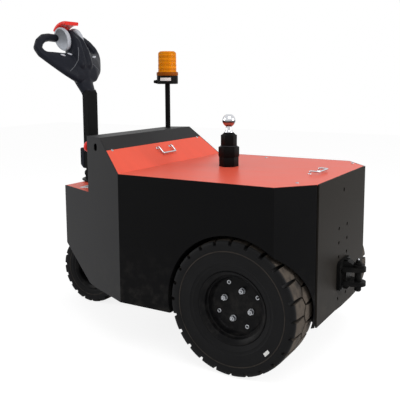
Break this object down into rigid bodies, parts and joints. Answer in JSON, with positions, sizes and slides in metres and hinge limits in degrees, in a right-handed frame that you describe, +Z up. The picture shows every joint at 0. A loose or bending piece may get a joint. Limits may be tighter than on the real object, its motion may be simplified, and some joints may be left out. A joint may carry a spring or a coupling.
{
  "type": "electric tow tractor",
  "caption": "Pedestrian electric tow tractor with a steering tiller, driven rear wheels, steered front wheel, drop-pin towing jaw, tow ball and beacon.",
  "frame": {"origin": "on the floor, below the middle of the overall box", "axes": "+X towards the tiller end, +Y to the left side seen from the rear, +Z up"},
  "size_m": [1.3682, 0.752, 1.21],
  "materials": {
    "body_black": "fine satin powder coat",
    "shoulder_grey": "satin powder coat",
    "plate_grey": "satin powder coat",
    "cover_red": "gloss powder coat",
    "bright_steel": "polished",
    "zinc_steel": "zinc plated",
    "cast_black": "painted casting",
    "drive_grey": "painted",
    "rim_grey": "painted",
    "tyre_rubber": "moulded rubber",
    "battery_case": "moulded",
    "grip_plastic": "moulded",
    "grey_plastic": "moulded",
    "red_plastic": "moulded",
    "amber_lens": "clear moulded"
  },
  "bodies": {
    "chassis": {"floor_plate": "body_black", "side_panel_left": "body_black", "side_panel_right": "body_black", "shoulder_left": "shoulder_grey", "shoulder_right": "shoulder_grey", "rear_plate": "plate_grey", "nose_front": "shoulder_grey", "nose_deck": "cover_red", "cowl_top": "body_black", "red_cover": "cover_red", "slope_handle": "bright_steel", "deck_handle": "bright_steel", "wheelhouse_left": "body_black", "wheelhouse_right": "body_black", "drive_axle": "drive_grey", "drive_motor": "drive_grey", "battery": "battery_case", "ball_tower": "cast_black", "tow_ball": "bright_steel", "beacon_pole": "body_black", "beacon_base": "grip_plastic", "beacon_lens": "amber_lens", "hitch_jaw": "cast_black", "emergency_stop": "red_plastic", "steering_head": "body_black", "seat_ring": "zinc_steel"},
    "wheel_left": {"rim_left": "rim_grey", "tyre_left": "tyre_rubber"},
    "wheel_right": {"rim_right": "rim_grey", "tyre_right": "tyre_rubber"},
    "steering": {"steer_fork": "cast_black", "turntable": "cast_black", "front_axle": "zinc_steel", "tiller_foot": "cast_black", "tilt_pin": "zinc_steel"},
    "front_wheel": {"front_rim": "rim_grey", "front_tyre": "tyre_rubber"},
    "tiller": {"tiller_column": "cast_black", "spring_cover": "grip_plastic", "tiller_head": "grip_plastic", "hand_loops": "grip_plastic", "head_cap": "red_plastic", "throttle_wings": "grey_plastic"},
    "tow_pin": {"hitch_pin": "zinc_steel"}
  },
  "joints": [
    {"name": "left_wheel_spin", "type": "hinge", "parent": "chassis", "child": "wheel_left", "pos_m": [-0.35108, 0.296, 0.228], "axis": [0, 1, 0], "continuous": true},
    {"name": "right_wheel_spin", "type": "hinge", "parent": "chassis", "child": "wheel_right", "pos_m": [-0.35108, -0.296, 0.228], "axis": [0, 1, 0], "continuous": true},
    {"name": "steering_turn", "type": "hinge", "parent": "chassis", "child": "steering", "pos_m": [0.44892, 0, 0.48], "axis": [0, 0, 1], "range_deg": [-60, 60]},
    {"name": "front_wheel_spin", "type": "hinge", "parent": "steering", "child": "front_wheel", "pos_m": [0.51392, 0, 0.15], "axis": [0, 1, 0], "continuous": true},
    {"name": "tiller_tilt", "type": "hinge", "parent": "steering", "child": "tiller", "pos_m": [0.52492, 0, 0.57], "axis": [0, 1, 0], "range_deg": [0, 75], "stiffness_Nm_per_rad": 30, "springref_deg": -68.75},
    {"name": "tow_pin_lift", "type": "slide", "parent": "chassis", "child": "tow_pin", "axis": [0, 0, 1], "range_m": [0, 0.09]}
  ]
}
